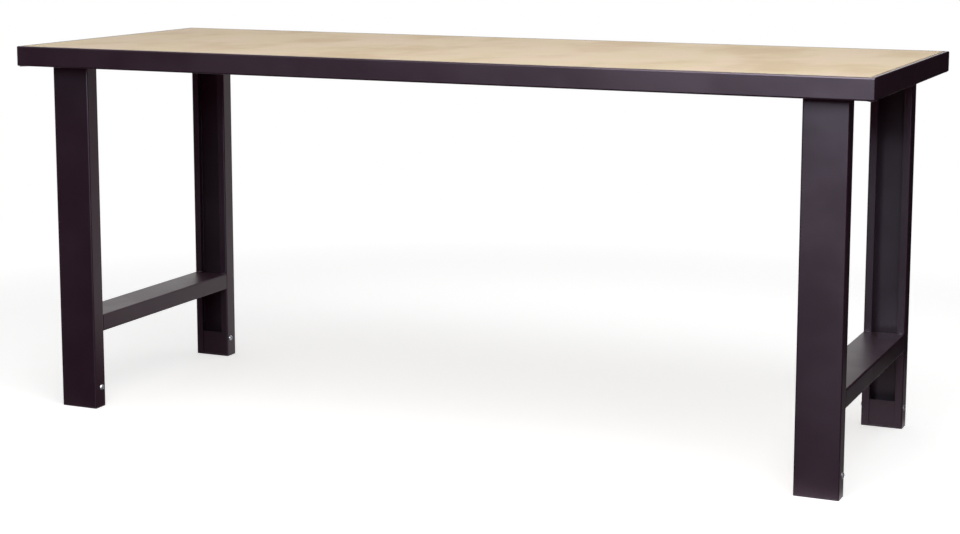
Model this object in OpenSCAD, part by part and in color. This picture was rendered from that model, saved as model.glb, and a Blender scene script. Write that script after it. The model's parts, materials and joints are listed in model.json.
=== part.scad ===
// Workshop bench: a wood worktop in a folded steel edge frame, on two welded end frames.
// Each leg is a lipped channel with an adjustable foot clamped in its open lower end.
// Millimetres. The origin is on the floor below the middle of the bench; +X runs along
// the bench, -Y is its front and +Z is up.

/* [Worktop] */
// Length of the bench, over the edge frame
top_l = 2000; // [1200:50:2500]
// Depth of the bench, front to rear, over the edge frame
top_d = 750; // [600:10:900]
// Height of the worktop's upper face above the floor
bench_h = 860; // [700:5:1000]
// Thickness of the board
board_t = 30; // [22:1:32]
// Open seam between the board's edge and the rim of the edge frame
board_seam = 1.5; // [0.5:0.5:3]
// Width of the eased upper arrises of the board
board_arris = 1; // [0.5:0.25:2]

/* [Edge frame] */
// Height of the edge frame's outer wall
edge_h = 46; // [44:1:60]
// Sheet thickness of the edge frame
edge_t = 2; // [1.5:0.5:3]
// Width of the rim round the board, level with the board's upper face
rim_w = 10; // [10:0.5:16]
// Height of the lip that the rim turns down beside the board
rim_lip = 18; // [10:1:20]
// Width of the flange under the board
edge_flange = 30; // [20:1:40]
// Radius of the welded and ground upright corners of the edge frame
corner_r = 2; // [1:0.5:4]

/* [Bearers] */
// Sheet thickness of the hat-shaped bearers under the board
bearer_t = 2; // [1.5:0.5:3]
// Number of board screws in each bearer
bearer_screws = 4; // [2:1:6]

/* [Legs] */
// Width of a leg, along the bench
leg_w = 95; // [80:1:120]
// Depth of a leg, front to rear
leg_d = 40; // [34:1:60]
// Width of the lips beside a leg's open side
leg_lip = 18; // [12:1:24]
// Sheet thickness of legs and lower rails
leg_t = 2; // [1.5:0.5:3]
// Distance from the end of the bench to a leg's outer side
leg_inset_x = 60; // [20:1:150]
// Distance from the front or rear of the bench to a leg's plain face
leg_inset_y = 55; // [45:1:120]
// Thickness of the plate welded in the head of a leg
head_plate_t = 4; // [3:0.5:6]

/* [Lower rails] */
// Height of a lower rail
rail_h = 40; // [30:1:60]
// Height of a lower rail's underside above the floor
rail_z = 181; // [130:1:400]

/* [Feet] */
// Thickness of a foot's base
foot_base_t = 3; // [2:0.5:5]
// Sheet thickness of a foot's upright plate and cheeks
foot_t = 2; // [1.5:0.5:3]
// Height of the upright plate that closes the leg's open side
foot_plate_h = 62; // [55:1:90]
// Height of the clamping screws above the floor
foot_screw_z = 47; // [30:1:60]
// Distance from a leg's open side to the clamping screws
foot_screw_in = 15; // [13:0.5:18]
// How far a foot can be drawn out to level the bench
foot_travel = 20; // [10:1:30]
// Gap between a foot and the leg round it
foot_clear = 0.3; // [0.2:0.1:0.5]

/* [Fasteners] */
// Thread diameter of the head bolts and foot screws
bolt_d = 8; // [6:1:8]
// Play of a bolt in its clearance hole, on the diameter
hole_play = 0.8; // [0.5:0.1:1]
// Shank diameter of the board screws
wood_screw_d = 5; // [4:0.5:6]
// Depth that a board screw reaches into the board
wood_screw_bite = 18; // [12:1:20]

/* [Finish] */
// Inside radius of every fold in the sheet steel
fold_r = 1.5; // [1:0.25:2]
// Smoothness of round shapes
$fn = 48; // [24:8:96]

/* [Hidden] */

BLACK = "#2b2530";
WOOD = "#dfc8a4";
ZINC = "#c9cdd2";

// Levels above the floor
board_z = bench_h - board_t;
flange_z = bench_h - edge_h + edge_t;
leg_top_z = flange_z;
bearer_h = board_z - flange_z;

// Places of the legs: the middle of a leg along X, and its plain face along Y
leg_x = top_l / 2 - leg_inset_x - leg_w / 2;
leg_y = top_d / 2 - leg_inset_y;
rail_l = 2 * (leg_y - leg_d);

// Bolts, nuts and washers, in the usual proportions to the thread
bolt_hole_d = bolt_d + hole_play;
hex_across = 1.63 * bolt_d;
hex_corner_d = hex_across / cos(30);
bolt_head_h = 0.66 * bolt_d;
nut_h = 0.8 * bolt_d;
nut_bore_d = bolt_d + 0.1;
washer_d = 2 * bolt_d;
washer_t = 1.6;
bolt_end = 1.5;
seat_gap = 0.1;

// The head bolts stand off the leg's inner walls by a washer and this gap
washer_gap = 4;
head_bolt_x = leg_w / 2 - leg_t - washer_d / 2 - washer_gap;
head_bolt_y = leg_d / 2;
head_bolts_xy = [for (sx = [-1, 1]) [sx * head_bolt_x, head_bolt_y]];

// The crown of a bearer stands clear of the nuts on its brims
crown_gap = 3;
crown_w = 2 * (head_bolt_x - bolt_d - crown_gap);
bearer_gap = 1;
bearer_l = top_d - 2 * (edge_t + fold_r + bearer_gap);
middle_bearer_x = leg_x / 3;
bearers_x = [-leg_x, -middle_bearer_x, middle_bearer_x, leg_x];

// Board screws run in a row along each bearer, between the legs
wood_screw_end = 30;
wood_screw_span = rail_l - 2 * wood_screw_end;
wood_screws_y = [for (i = [0 : bearer_screws - 1]) wood_screw_span * (i / (bearer_screws - 1) - 0.5)];
wood_head_d = 1.9 * wood_screw_d;
wood_head_h = 0.6 * wood_screw_d;
wood_hole_d = wood_screw_d + hole_play;
wood_pilot_d = wood_screw_d + seat_gap;
wood_point_h = wood_screw_d;

// The foot: a folded bracket inside the leg, on a base under the leg's end
foot_screw_y = leg_d - foot_screw_in;
foot_w = leg_w - 2 * (leg_t + foot_clear);
foot_front_y = leg_d - leg_t - foot_clear;
foot_back_y = leg_t + fold_r + foot_clear;
foot_slot_w = bolt_d + 2 * foot_clear;
foot_cheek_top = 14;
foot_cheek_h = foot_screw_z + foot_travel + foot_cheek_top;
foot_screw_l = leg_t + foot_t + 2 * foot_clear + nut_h + bolt_end;
foot_nut_x = leg_w / 2 - leg_t - foot_t - 2 * foot_clear - nut_h;
button_head_d = 1.75 * bolt_d;
button_head_h = 0.55 * bolt_d;
socket_across = 0.62 * bolt_d;
socket_depth = 0.33 * bolt_d;

// Unit direction of the straight stretch that starts at point i of a path
function direction(path, i) = (path[i + 1] - path[i]) / norm(path[i + 1] - path[i]);

// A point to a thousandth, so that the stretches and folds of a section meet exactly
function snapped(point) = [for (value = point) round(value * 1000) / 1000];

// Section of one folded sheet. The path is the sheet's middle line, with square corners
// that become round folds of inside radius fold_r.
module folded_section(path, t) {
    line = [for (point = path) snapped(point)];
    last = len(line) - 2;
    r = fold_r + t / 2;
    for (i = [0 : last]) {
        along = direction(line, i);
        from = i == 0 ? 0 : r;
        to = norm(line[i + 1] - line[i]) - (i == last ? 0 : r);
        translate(line[i])
            rotate(atan2(along.y, along.x))
                translate([from, -t / 2])
                    square([to - from, t]);
    }
    for (i = [1 : last])
        round_fold(line[i], direction(line, i - 1), direction(line, i), r, t);
}

// Quarter ring at a corner of the middle line, where the sheet turns from one direction to the next
module round_fold(corner, before, after, r, t) {
    centre = corner + r * (after - before);
    reach = r + t;
    intersection() {
        translate(centre)
            difference() {
                circle(r + t / 2);
                circle(r - t / 2);
            }
        polygon([
            centre,
            centre + reach * before,
            centre + reach * (before - after),
            centre - reach * after
        ]);
    }
}

// Lipped channel: its plain face lies on y = 0 and its open side faces +Y
module channel_section(w, d, lip, t) {
    side = w / 2 - t / 2;
    mouth = d - t / 2;
    folded_section([
        [w / 2 - lip, mouth], [side, mouth], [side, t / 2],
        [-side, t / 2], [-side, mouth], [lip - w / 2, mouth]
    ], t);
}

// Rectangle with true round corners, centred
module rounded_rect(w, d, r) {
    square([w - 2 * r, d], center = true);
    square([w, d - 2 * r], center = true);
    for (sx = [-1, 1], sy = [-1, 1])
        translate([sx * (w / 2 - r), sy * (d / 2 - r)])
            circle(r);
}

// Carries its children from a leg's own frame to the leg at side sx, sy
module at_leg(sx, sy) {
    translate([sx * leg_x, sy * leg_y, 0])
        rotate(sy > 0 ? 180 : 0)
            children();
}

module at_every_leg() {
    for (sx = [-1, 1], sy = [-1, 1])
        at_leg(sx, sy)
            children();
}

// A folded length along X, its section's x pointing to +Y and its y to +Z, centred
module extrude_along_x(length) {
    rotate([90, 0, 90])
        linear_extrude(length, center = true)
            children();
}

// A folded length along Y, its section's x pointing to +X and its y to +Z, centred
module extrude_along_y(length) {
    rotate([90, 0, 0])
        linear_extrude(length, center = true)
            children();
}

// The board, with its four upper arrises eased and a pilot hole for each board screw
module worktop_board() {
    inset = rim_w + board_seam;
    length = top_l - 2 * inset;
    depth = top_d - 2 * inset;
    color(WOOD)
        difference() {
            translate([-length / 2, -depth / 2, board_z])
                cube([length, depth, board_t]);
            for (turn = [0, 180]) {
                rotate(turn)
                    board_arris_cut(length, depth);
                rotate(turn + 90)
                    board_arris_cut(depth, length);
            }
            at_board_screws()
                translate([0, 0, -seat_gap])
                    cylinder(h = wood_screw_bite + 2 * seat_gap, d = wood_pilot_d);
        }
}

// What is planed off the upper arris along the front of a board of this length and depth
module board_arris_cut(length, depth) {
    side = board_arris * sqrt(2);
    translate([0, -depth / 2, bench_h])
        rotate([45, 0, 0])
            cube([length + 2, side, side], center = true);
}

// Section of the edge frame: a flange under the board, the outer wall on x = 0, the rim on top
// and the lip that hangs from the rim beside the board
module edge_section() {
    wall = edge_t / 2;
    low = edge_t / 2;
    high = edge_h - edge_t / 2;
    inner = rim_w - edge_t / 2;
    folded_section([
        [edge_flange, low], [wall, low], [wall, high],
        [inner, high], [inner, edge_h - rim_lip]
    ], edge_t);
}

// One side of the edge frame, as long as the side it runs along, with mitred ends.
// Its outer wall lies on y = 0 and its flange points to +Y.
module edge_profile(length) {
    mitre = edge_flange + edge_t;
    color(BLACK)
        intersection() {
            translate([0, 0, bench_h - edge_h])
                extrude_along_x(length)
                    edge_section();
            translate([0, 0, bench_h - edge_h - edge_t])
                linear_extrude(edge_h + 2 * edge_t)
                    intersection() {
                        polygon([
                            [-length / 2, 0], [length / 2, 0],
                            [length / 2 - mitre, mitre], [mitre - length / 2, mitre]
                        ]);
                        translate([0, mitre])
                            rounded_rect(length, 2 * mitre, corner_r);
                    }
        }
}

module front_edge_profile() {
    translate([0, -top_d / 2, 0])
        edge_profile(top_l);
}

module rear_edge_profile() {
    rotate(180)
        front_edge_profile();
}

module left_edge_profile() {
    rotate(-90)
        translate([0, -top_l / 2, 0])
            edge_profile(top_d);
}

module right_edge_profile() {
    rotate(180)
        left_edge_profile();
}

// Hat-shaped bearer across the bench: its brims lie on the flanges and its crown meets the board
module bearer() {
    brim = leg_w / 2;
    wall = crown_w / 2 - bearer_t / 2;
    low = bearer_t / 2;
    high = bearer_h - bearer_t / 2;
    color(BLACK)
        difference() {
            translate([0, 0, flange_z])
                extrude_along_y(bearer_l)
                    folded_section([
                        [-brim, low], [-wall, low], [-wall, high],
                        [wall, high], [wall, low], [brim, low]
                    ], bearer_t);
            for (y = wood_screws_y)
                translate([0, y, board_z - 2 * bearer_t])
                    cylinder(h = 3 * bearer_t, d = wood_hole_d);
        }
}

// Bearer over the two legs at side sx, drilled for their head bolts
module end_bearer(sx) {
    color(BLACK)
        difference() {
            translate([sx * leg_x, 0, 0])
                bearer();
            for (sy = [-1, 1])
                at_leg(sx, sy)
                    for (place = head_bolts_xy)
                        translate([place.x, place.y, flange_z - bearer_t])
                            cylinder(h = 3 * bearer_t, d = bolt_hole_d);
        }
}

module middle_bearer(sx) {
    translate([sx * middle_bearer_x, 0, 0])
        bearer();
}

// One leg, with the two screw holes of its foot through the side walls
module leg() {
    color(BLACK)
        difference() {
            translate([0, 0, foot_base_t])
                linear_extrude(leg_top_z - foot_base_t)
                    channel_section(leg_w, leg_d, leg_lip, leg_t);
            translate([0, foot_screw_y, foot_screw_z])
                rotate([0, 90, 0])
                    cylinder(h = leg_w + 2, d = bolt_hole_d, center = true);
        }
}

// Plate in the head of a leg, level with its upper end
module head_plate() {
    color(BLACK)
        translate([0, leg_d / 2, leg_top_z - head_plate_t])
            linear_extrude(head_plate_t)
                difference() {
                    rounded_rect(
                        leg_w - 2 * (leg_t + seat_gap),
                        leg_d - 2 * (leg_t + seat_gap),
                        fold_r + seat_gap
                    );
                    for (place = head_bolts_xy)
                        translate([place.x, place.y - leg_d / 2])
                            circle(d = bolt_hole_d);
                }
}

// Lower rail between the legs at one end: a lipped channel with its plain face on top
module lower_rail() {
    color(BLACK)
        translate([0, 0, rail_z + rail_h])
            rotate([180, 0, 0])
                extrude_along_y(rail_l)
                    channel_section(leg_w, rail_h, leg_lip, leg_t);
}

// Adjustable foot: a base under the leg's end, an upright plate behind the lips and a slotted
// cheek beside each of the leg's side walls
module foot() {
    cheek_x = foot_w / 2 - foot_t / 2;
    plate_y = foot_front_y - foot_t / 2;
    color(BLACK)
        difference() {
            union() {
                translate([0, leg_d / 2, 0])
                    linear_extrude(foot_base_t)
                        rounded_rect(leg_w, leg_d, fold_r + leg_t);
                translate([0, 0, foot_base_t / 2])
                    linear_extrude(foot_cheek_h - foot_base_t / 2)
                        folded_section([
                            [cheek_x, foot_back_y], [cheek_x, plate_y],
                            [-cheek_x, plate_y], [-cheek_x, foot_back_y]
                        ], foot_t);
            }
            translate([-leg_w / 2, foot_front_y - foot_t - fold_r, foot_plate_h])
                cube([leg_w, leg_d, foot_cheek_h]);
            foot_slots();
        }
}

// The slots in both cheeks, in which the clamping screws travel
module foot_slots() {
    translate([0, foot_screw_y, foot_screw_z])
        rotate([0, 90, 0])
            linear_extrude(leg_w + 2, center = true) {
                circle(d = foot_slot_w);
                translate([-foot_travel, 0])
                    circle(d = foot_slot_w);
                translate([-foot_travel, -foot_slot_w / 2])
                    square([foot_travel, foot_slot_w]);
            }
}

// Hexagon prism on z = 0
module hexagon(h) {
    cylinder(h = h, d = hex_corner_d, $fn = 6);
}

// Places of the two head bolts in every leg, on the underside of the head plate
module at_head_bolts() {
    at_every_leg()
        for (place = head_bolts_xy)
            translate([place.x, place.y, leg_top_z - head_plate_t])
                children();
}

module head_bolts() {
    color(ZINC)
        at_head_bolts()
            translate([0, 0, -washer_t]) {
                translate([0, 0, -bolt_head_h])
                    hexagon(bolt_head_h);
                cylinder(h = washer_t + head_plate_t + bearer_t + nut_h + bolt_end, d = bolt_d);
            }
}

module head_washers() {
    color(ZINC)
        at_head_bolts()
            translate([0, 0, -washer_t])
                difference() {
                    cylinder(h = washer_t, d = washer_d);
                    translate([0, 0, -1])
                        cylinder(h = washer_t + 2, d = bolt_hole_d);
                }
}

module head_nuts() {
    color(ZINC)
        at_head_bolts()
            translate([0, 0, head_plate_t + bearer_t])
                difference() {
                    hexagon(nut_h);
                    translate([0, 0, -1])
                        cylinder(h = nut_h + 2, d = nut_bore_d);
                }
}

// Both foot screws of every leg, their axes turned so that +Z points out of the side wall
module at_foot_screws(out) {
    at_every_leg()
        for (sx = [-1, 1])
            translate([sx * out, foot_screw_y, foot_screw_z])
                rotate([0, sx * 90, 0])
                    children();
}

// Button-headed screw with a hexagon socket, its head standing on z = 0
module button_screw(length) {
    dome_r = (button_head_d * button_head_d / 4 + button_head_h * button_head_h) / (2 * button_head_h);
    difference() {
        intersection() {
            translate([0, 0, button_head_h - dome_r])
                sphere(dome_r);
            cylinder(h = button_head_h, d = button_head_d);
        }
        translate([0, 0, button_head_h - socket_depth])
            cylinder(h = button_head_h, d = socket_across / cos(30), $fn = 6);
    }
    translate([0, 0, -length])
        cylinder(h = length + button_head_h - socket_depth, d = bolt_d);
}

module foot_screws() {
    color(ZINC)
        at_foot_screws(leg_w / 2)
            button_screw(foot_screw_l);
}

module foot_nuts() {
    color(ZINC)
        at_foot_screws(foot_nut_x)
            difference() {
                hexagon(nut_h);
                translate([0, 0, -1])
                    cylinder(h = nut_h + 2, d = nut_bore_d);
            }
}

// Places of the board screws, on the board's underside
module at_board_screws() {
    for (x = bearers_x, y = wood_screws_y)
        translate([x, y, board_z])
            children();
}

module board_screws() {
    color(ZINC)
        at_board_screws() {
            translate([0, 0, -bearer_t - wood_head_h])
                cylinder(h = wood_head_h, d = wood_head_d);
            translate([0, 0, -bearer_t])
                cylinder(h = bearer_t + wood_screw_bite - wood_point_h, d = wood_screw_d);
            translate([0, 0, wood_screw_bite - wood_point_h])
                cylinder(h = wood_point_h, d1 = wood_screw_d, d2 = 0);
        }
}

module leg_at(sx, sy) {
    at_leg(sx, sy)
        leg();
}

module head_plate_at(sx, sy) {
    at_leg(sx, sy)
        head_plate();
}

module foot_at(sx, sy) {
    at_leg(sx, sy)
        foot();
}

module lower_rail_at(sx) {
    translate([sx * leg_x, 0, 0])
        lower_rail();
}

worktop_board();
front_edge_profile();
rear_edge_profile();
left_edge_profile();
right_edge_profile();
end_bearer(-1);  // left_end_bearer
end_bearer(1);  // right_end_bearer
middle_bearer(-1);  // left_middle_bearer
middle_bearer(1);  // right_middle_bearer
leg_at(-1, -1);  // front_left_leg
leg_at(1, -1);  // front_right_leg
leg_at(-1, 1);  // rear_left_leg
leg_at(1, 1);  // rear_right_leg
head_plate_at(-1, -1);  // front_left_head_plate
head_plate_at(1, -1);  // front_right_head_plate
head_plate_at(-1, 1);  // rear_left_head_plate
head_plate_at(1, 1);  // rear_right_head_plate
lower_rail_at(-1);  // left_lower_rail
lower_rail_at(1);  // right_lower_rail
foot_at(-1, -1);  // front_left_foot
foot_at(1, -1);  // front_right_foot
foot_at(-1, 1);  // rear_left_foot
foot_at(1, 1);  // rear_right_foot
head_bolts();
head_washers();
head_nuts();
foot_screws();
foot_nuts();
board_screws();
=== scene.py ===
# %% [markdown]
# # A workshop bench, dressed for the studio
# The bench comes in as a finished construction: a wood board let into a folded steel edge frame, on two
# welded end frames with adjustable feet. Every one of those pieces is already there at its true size.
# What is missing is what a hand and an eye would find on it: powder coat with its faint orange peel,
# lacquered beech with its grain, dull zinc, the weld beads in the corners and real screws.
# This script adds them, one step in each cell.

import json
import math

import bpy
from mathutils import Matrix, Vector


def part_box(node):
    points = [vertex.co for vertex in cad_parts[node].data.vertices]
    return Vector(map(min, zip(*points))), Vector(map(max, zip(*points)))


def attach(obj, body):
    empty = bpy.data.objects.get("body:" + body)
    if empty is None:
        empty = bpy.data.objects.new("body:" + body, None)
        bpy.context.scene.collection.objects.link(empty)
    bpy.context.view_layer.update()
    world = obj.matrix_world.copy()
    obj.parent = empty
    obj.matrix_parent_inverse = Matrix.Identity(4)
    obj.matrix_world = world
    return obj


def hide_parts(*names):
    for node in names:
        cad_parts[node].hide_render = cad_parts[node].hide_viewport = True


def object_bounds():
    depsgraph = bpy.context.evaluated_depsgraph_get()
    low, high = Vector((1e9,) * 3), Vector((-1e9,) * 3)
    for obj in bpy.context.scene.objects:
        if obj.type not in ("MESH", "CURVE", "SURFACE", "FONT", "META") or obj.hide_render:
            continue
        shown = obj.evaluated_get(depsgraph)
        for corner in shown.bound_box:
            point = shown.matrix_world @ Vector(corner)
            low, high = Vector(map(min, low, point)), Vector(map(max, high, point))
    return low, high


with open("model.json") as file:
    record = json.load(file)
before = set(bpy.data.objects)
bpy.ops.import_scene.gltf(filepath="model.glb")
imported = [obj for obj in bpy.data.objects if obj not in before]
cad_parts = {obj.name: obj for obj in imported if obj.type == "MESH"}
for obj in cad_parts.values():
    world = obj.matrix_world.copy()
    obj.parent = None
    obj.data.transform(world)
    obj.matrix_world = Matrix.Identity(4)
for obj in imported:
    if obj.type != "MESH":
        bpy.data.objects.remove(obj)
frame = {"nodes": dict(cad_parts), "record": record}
nodes = frame["nodes"]
bpy.context.view_layer.update()
construction_box = [list(corner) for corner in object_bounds()]
print("pieces of the construction:", len(nodes))
print("its box in metres:", construction_box)

# %% [markdown]
# ## Measures taken from the bench
# All later steps place things by the bench itself, so its main levels and lines are read from the
# pieces' boxes first. A length in millimetres is easier to picture, so `MM` turns one into metres.
# `LEGS` gives each leg its two signs: left or right of the middle, in front of it or behind it.

# %% Measures
MM = 0.001
SHEET_T = 2 * MM
HEAD_PLATE_T = 4 * MM
LEGS = {
    "front_left": (-1, -1),
    "front_right": (1, -1),
    "rear_left": (-1, 1),
    "rear_right": (1, 1),
}

board_low, board_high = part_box("worktop_board")
leg_low, leg_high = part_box("rear_right_leg")
rail_low, rail_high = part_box("right_lower_rail")
edge_low, edge_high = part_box("rear_edge_profile")
middle_low, middle_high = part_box("right_middle_bearer")
bearer_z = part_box("right_end_bearer")[0].z

top_z = board_high.z
leg_x = (leg_low.x + leg_high.x) / 2
leg_half_w = (leg_high.x - leg_low.x) / 2
leg_web_y = leg_high.y
leg_mouth_y = leg_low.y
middle_x = (middle_low.x + middle_high.x) / 2
bearer_middles = (-leg_x, -middle_x, middle_x, leg_x)
print("leg middle at x", round(leg_x, 4), "m, worktop at z", round(top_z, 4), "m")

# %% [markdown]
# ## The camera
# A product photographer stood to the right of the bench and a little above the worktop, with a long
# lens. The place, the turn and the lens were found by fitting the corners of the bench in the picture
# to the corners of the construction. A small shift lowers the view, so that the camera dips less and
# the uprights stay closer to parallel.

# %% Camera
IMAGE_W = 960
SENSOR_W = 36.0
FOCAL_PX = 1969.2
CAMERA_PLACE = Vector((1.8299, -4.1112, 1.1915))
CAMERA_TURN = math.radians(23.891)
CAMERA_DIP = math.radians(8.327)
CAMERA_ROLL = math.radians(0.061)
CAMERA_SHIFT = -0.08
CLIP_NEAR = 0.05
CLIP_FAR = 200


def photo_camera():
    """The camera at the photograph's viewing angle."""
    data = bpy.data.cameras.new("photo_camera")
    data.sensor_fit = "HORIZONTAL"
    data.sensor_width = SENSOR_W
    data.lens = FOCAL_PX / IMAGE_W * SENSOR_W
    data.shift_y = CAMERA_SHIFT
    data.clip_start = CLIP_NEAR
    data.clip_end = CLIP_FAR
    made = bpy.data.objects.new("photo_camera", data)
    turn = Matrix.Rotation(CAMERA_TURN, 4, "Z")
    tilt = Matrix.Rotation(math.pi / 2 - CAMERA_DIP, 4, "X")
    roll = Matrix.Rotation(CAMERA_ROLL, 4, "Z")
    made.matrix_world = Matrix.Translation(CAMERA_PLACE) @ turn @ tilt @ roll
    bpy.context.scene.collection.objects.link(made)
    return made


bpy.context.scene.camera = photo_camera()
bpy.context.scene.view_settings.view_transform = "Standard"
print("lens:", round(bpy.context.scene.camera.data.lens, 1), "mm")

# %% [markdown]
# ## Helpers for node trees
# Shaders and Geometry Nodes are both trees of nodes. Written out in full, each node takes three or
# four lines, and the idea gets lost. `plug` fills a node's inputs: one that is given another node's
# output gets a link, any other a value. `add` makes a node, gives it its settings and plugs it.
# `new_group` makes a tree with named sockets, so that a group reads like a function with parameters,
# and `use_group` places it in another tree.

# %% Helpers for any tree
def plug(tree, node, inputs):
    """Fill a node's inputs, each by its name, or by its number where a node repeats a name."""
    for name, value in inputs.items():
        if isinstance(value, bpy.types.NodeSocket):
            tree.links.new(value, node.inputs[name])
        else:
            node.inputs[name].default_value = value


def add(tree, kind, inputs=None, **settings):
    """One node in a tree, with its settings and its inputs."""
    made = tree.nodes.new(kind)
    for name, value in settings.items():
        setattr(made, name, value)
    plug(tree, made, inputs or {})
    return made


def new_group(name, kind, inputs, outputs):
    """A node group with its named sockets, its input node and its output node."""
    tree = bpy.data.node_groups.new(name, kind)
    for label, socket_type, default in inputs:
        socket = tree.interface.new_socket(label, in_out="INPUT", socket_type=socket_type)
        if default is not None:
            socket.default_value = default
    for label, socket_type in outputs:
        tree.interface.new_socket(label, in_out="OUTPUT", socket_type=socket_type)
    return tree, tree.nodes.new("NodeGroupInput"), tree.nodes.new("NodeGroupOutput")


def use_group(tree, group, inputs):
    """A group placed in a material, with its own values."""
    return add(tree, "ShaderNodeGroup", inputs, node_tree=group)


def new_material(name):
    """A material with one Principled shader, its tree and that shader."""
    material = bpy.data.materials.new(name)
    material.use_nodes = True
    tree = material.node_tree
    tree.nodes.clear()
    shader = tree.nodes.new("ShaderNodeBsdfPrincipled")
    add(tree, "ShaderNodeOutputMaterial", {"Surface": shader.outputs[0]})
    return material, tree, shader


print("helpers for any tree ready")

# %% [markdown]
# A few nodes come up in nearly every tree: a sum, a value stretched to another range, a mix of two
# colours, a noise, a bump. Each gets a function that gives back the one output that is wanted.
# `object_place` is the place on the bench in metres. It belongs to the piece, so a pattern that is
# built on it stays where it is when the piece moves or the camera does.

# %% Helpers for the commonest nodes
def math_node(tree, operation, *values):
    """The output of a Math node."""
    return add(tree, "ShaderNodeMath", dict(enumerate(values)), operation=operation).outputs[0]


def remap(tree, value, low, high, to_low=0.0, to_high=1.0):
    """A value stretched from low..high to to_low..to_high, with soft ends."""
    made = add(tree, "ShaderNodeMapRange", interpolation_type="SMOOTHSTEP", inputs={
        "Value": value, "From Min": low, "From Max": high, "To Min": to_low, "To Max": to_high})
    return made.outputs["Result"]


def mix_colour(tree, factor, colour_a, colour_b):
    """Colour A where the factor is 0, colour B where it is 1."""
    made = add(tree, "ShaderNodeMix", {0: factor, 6: colour_a, 7: colour_b}, data_type="RGBA")
    return made.outputs[2]


def object_place(tree):
    """The place on the bench, in metres."""
    return tree.nodes.new("ShaderNodeTexCoord").outputs["Object"]


def true_normal(tree):
    """The direction the surface faces, without any bump."""
    return tree.nodes.new("ShaderNodeNewGeometry").outputs["Normal"]


def z_of(tree, vector):
    """The upright part of a vector."""
    return add(tree, "ShaderNodeSeparateXYZ", {0: vector}).outputs["Z"]


def noise(tree, place, scale, detail, roughness):
    """Soft noise from 0 to 1."""
    made = add(tree, "ShaderNodeTexNoise", {
        "Vector": place, "Scale": scale, "Detail": detail, "Roughness": roughness})
    return made.outputs["Fac"]


def bump(tree, height, distance, strength, normal):
    """A normal tilted by a height, which is a share of a distance in metres."""
    made = add(tree, "ShaderNodeBump", {
        "Strength": strength, "Distance": distance, "Height": height, "Normal": normal})
    return made.outputs[0]


print("helpers for the commonest nodes ready")

# %% [markdown]
# ## The studio
# A black product on white is lit with large soft lamps and shown on a white sweep. The white behind it
# is a colour here, not more light: where the camera looks past the bench it meets a surface that
# simply is white. Mirror and glass rays meet the same white, so polished things show the background
# they stand in. Every other ray meets a plain grey room, which fills the shadows softly.
# `seen_directly` is that switch, used by the room and by the floor alike.

# %% Room
ROOM_FILL = 0.42
WHITE = (1.0, 1.0, 1.0, 1.0)
BLACK = (0.0, 0.0, 0.0, 1.0)


def seen_directly(tree):
    """1 for rays that show the background: from the camera, off a mirror or through glass."""
    path = tree.nodes.new("ShaderNodeLightPath")
    seen = math_node(tree, "MAXIMUM", path.outputs["Is Camera Ray"], path.outputs["Is Glossy Ray"])
    return math_node(tree, "MAXIMUM", seen, path.outputs["Is Transmission Ray"])


def make_room():
    """The world: white where it is seen, and a soft grey fill for the light it gives."""
    world = bpy.data.worlds.new("studio_room")
    world.use_nodes = True
    tree = world.node_tree
    tree.nodes.clear()
    fill = add(tree, "ShaderNodeBackground", {"Color": WHITE, "Strength": ROOM_FILL})
    white = add(tree, "ShaderNodeBackground", {"Color": WHITE, "Strength": 1.0})
    both = add(tree, "ShaderNodeMixShader", {
        0: seen_directly(tree), 1: fill.outputs[0], 2: white.outputs[0]})
    add(tree, "ShaderNodeOutputWorld", {"Surface": both.outputs[0]})
    bpy.context.scene.world = world


make_room()
print("room fill:", ROOM_FILL)

# %% [markdown]
# The floor is pale and matt, and it keeps the shadow of the bench. Near the bench it is a lit surface
# with a little lift, so that the shadow shows on a nearly white ground. Further out it fades to the
# same white as the room, and no horizon line is left.

# %% Floor
FLOOR_HALF = 40.0
FLOOR_COLOUR = (0.82, 0.82, 0.82, 1.0)
FLOOR_LIFT = 0.56
FADE_FROM = 1.3
FADE_TO = 3.4
SQUARE = ((-1, -1), (1, -1), (1, 1), (-1, 1))


def make_floor():
    """A large plane at the bench's feet."""
    mesh = bpy.data.meshes.new("studio_floor")
    corners = [(x * FLOOR_HALF, y * FLOOR_HALF, 0) for x, y in SQUARE]
    mesh.from_pydata(corners, [], [(0, 1, 2, 3)])
    floor = bpy.data.objects.new("studio_floor", mesh)
    bpy.context.scene.collection.objects.link(floor)
    material, tree, shader = new_material("studio_floor")
    distance = add(tree, "ShaderNodeVectorMath", {0: object_place(tree)}, operation="LENGTH")
    far = remap(tree, distance.outputs["Value"], FADE_FROM, FADE_TO)
    seen = seen_directly(tree)
    plain = math_node(tree, "SUBTRACT", 1.0, math_node(tree, "MULTIPLY", far, seen))
    glow = math_node(tree, "MULTIPLY", remap(tree, far, 0, 1, FLOOR_LIFT, 1.0), seen)
    plug(tree, shader, {
        "Base Color": mix_colour(tree, plain, BLACK, FLOOR_COLOUR),
        "Roughness": 1.0,
        "Specular IOR Level": 0.0,
        "Emission Color": WHITE,
        "Emission Strength": glow})
    mesh.materials.append(material)
    return floor


make_floor()
print("floor fades to white from", FADE_FROM, "to", FADE_TO, "m")

# %% [markdown]
# One large soft lamp overhead lights the board, stronger towards its front right. Two more give only
# sheen. The strong one hangs high in front, to the right: the orange peel spreads its mirror image so
# wide that the right half of the front glows grey-blue, and just under the overhanging top a dark band
# is left on the legs. The other lies over the front edge and draws a line on the steel's round folds.
# Both are kept off matt surfaces, so that the board and the floor stay at their plain level.
# `softbox` takes the lamp's brightness as radiance, the same unit as a surface's colour, so that lamps
# of any size compare.

# %% Lamps
NEUTRAL = (1.0, 1.0, 1.0)
COOL = (0.97, 1.02, 1.18)


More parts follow.
